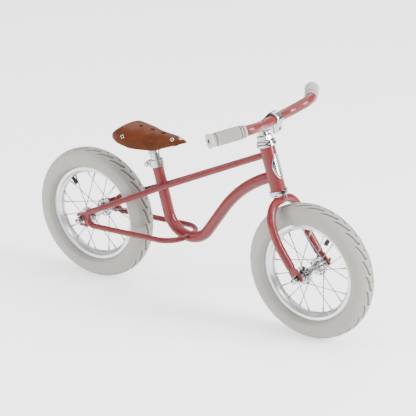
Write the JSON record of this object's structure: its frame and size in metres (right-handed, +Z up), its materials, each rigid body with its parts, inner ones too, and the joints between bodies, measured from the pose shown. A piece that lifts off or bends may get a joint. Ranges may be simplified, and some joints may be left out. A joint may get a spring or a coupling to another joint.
{
  "type": "balance bike",
  "caption": "Child's pedal-less balance bike with a steel tube frame, unicrown fork, spoked pneumatic wheels, sprungless saddle and quill stem.",
  "frame": {"origin": "on the ground, midway between the wheel centres, in the bike's middle plane", "axes": "+X forwards, +Y to the rider's left, +Z up"},
  "size_m": [0.8834, 0.4102, 0.5045],
  "materials": {
    "frame_paint": "gloss",
    "plated_metal": "polished",
    "fastener_steel": "bright zinc",
    "badge_metal": "polished",
    "rim_metal": "polished",
    "tyre_rubber": "matte off-white",
    "black_rubber": "matte",
    "grip_rubber": "satin off-white",
    "saddle_leather": "satin tan",
    "saddle_plastic": "matte"
  },
  "bodies": {
    "frame": {"main_tube": "frame_paint", "head_tube": "frame_paint", "stay_left": "frame_paint", "stay_right": "frame_paint", "dropout_left": "frame_paint", "dropout_right": "frame_paint", "head_badge": "badge_metal", "badge_rivets": "badge_metal", "seat_collar": "plated_metal", "collar_bolt": "fastener_steel", "lower_cup": "plated_metal", "upper_cup": "plated_metal", "rear_axle": "fastener_steel", "rear_cones": "fastener_steel", "rear_ball_rings": "fastener_steel", "rear_washers": "plated_metal", "rear_axle_nuts": "plated_metal"},
    "seat_stem": {"seat_post": "plated_metal", "saddle_clamp_band": "fastener_steel", "saddle_clamp_bolt": "fastener_steel"},
    "saddle": {"saddle_cover": "saddle_leather", "saddle_base": "saddle_plastic", "saddle_rivets": "badge_metal", "saddle_rails": "fastener_steel", "saddle_clamp_cheeks": "fastener_steel"},
    "fork": {"fork_steerer": "frame_paint", "fork_blades": "frame_paint", "fork_ends": "frame_paint", "crown_race": "plated_metal", "lower_ball_ring": "fastener_steel", "upper_ball_ring": "fastener_steel", "top_cone": "plated_metal", "keyed_washer": "plated_metal", "lock_nut": "plated_metal", "front_axle": "fastener_steel", "front_cones": "fastener_steel", "front_ball_rings": "fastener_steel", "front_washers": "plated_metal", "front_axle_nuts": "plated_metal"},
    "bar_stem": {"stem": "plated_metal", "expander_bolt": "fastener_steel", "expander_wedge": "fastener_steel", "bar_pinch_bolt": "fastener_steel"},
    "bars": {"handlebar": "frame_paint", "grip_left": "grip_rubber", "grip_right": "grip_rubber"},
    "rear_wheel": {"rear_tyre": "tyre_rubber", "rear_inner_tube": "black_rubber", "rear_valve_cap": "black_rubber", "rear_rim": "rim_metal", "rear_spokes": "fastener_steel", "rear_nipples": "fastener_steel", "rear_hub_shell": "plated_metal"},
    "front_wheel": {"front_tyre": "tyre_rubber", "front_inner_tube": "black_rubber", "front_valve_cap": "black_rubber", "front_rim": "rim_metal", "front_spokes": "fastener_steel", "front_nipples": "fastener_steel", "front_hub_shell": "plated_metal"}
  },
  "joints": [
    {"name": "rear_spin", "type": "hinge", "parent": "frame", "child": "rear_wheel", "pos_m": [-0.28925, 0, 0.1525], "axis": [0, 1, 0], "continuous": true},
    {"name": "steer", "type": "hinge", "parent": "frame", "child": "fork", "pos_m": [0.25925, 0, 0.1429], "axis": [-0.3049, 0, 0.9524], "range_deg": [-90, 90]},
    {"name": "front_spin", "type": "hinge", "parent": "fork", "child": "front_wheel", "pos_m": [0.28925, 0, 0.1525], "axis": [0, 1, 0], "continuous": true},
    {"name": "seat_height", "type": "slide", "parent": "frame", "child": "seat_stem", "axis": [-0.2756, 0, 0.9613], "range_m": [-0.012, 0.045]},
    {"name": "saddle_tilt", "type": "hinge", "parent": "seat_stem", "child": "saddle", "pos_m": [-0.1305, 0, 0.35211], "axis": [0, 1, 0], "range_deg": [-12, 12]},
    {"name": "stem_height", "type": "slide", "parent": "fork", "child": "bar_stem", "axis": [-0.3049, 0, 0.9524], "range_m": [0, 0.04]},
    {"name": "bar_roll", "type": "hinge", "parent": "bar_stem", "child": "bars", "pos_m": [0.19174, 0, 0.47744], "axis": [0, 1, 0], "range_deg": [-30, 30]}
  ]
}
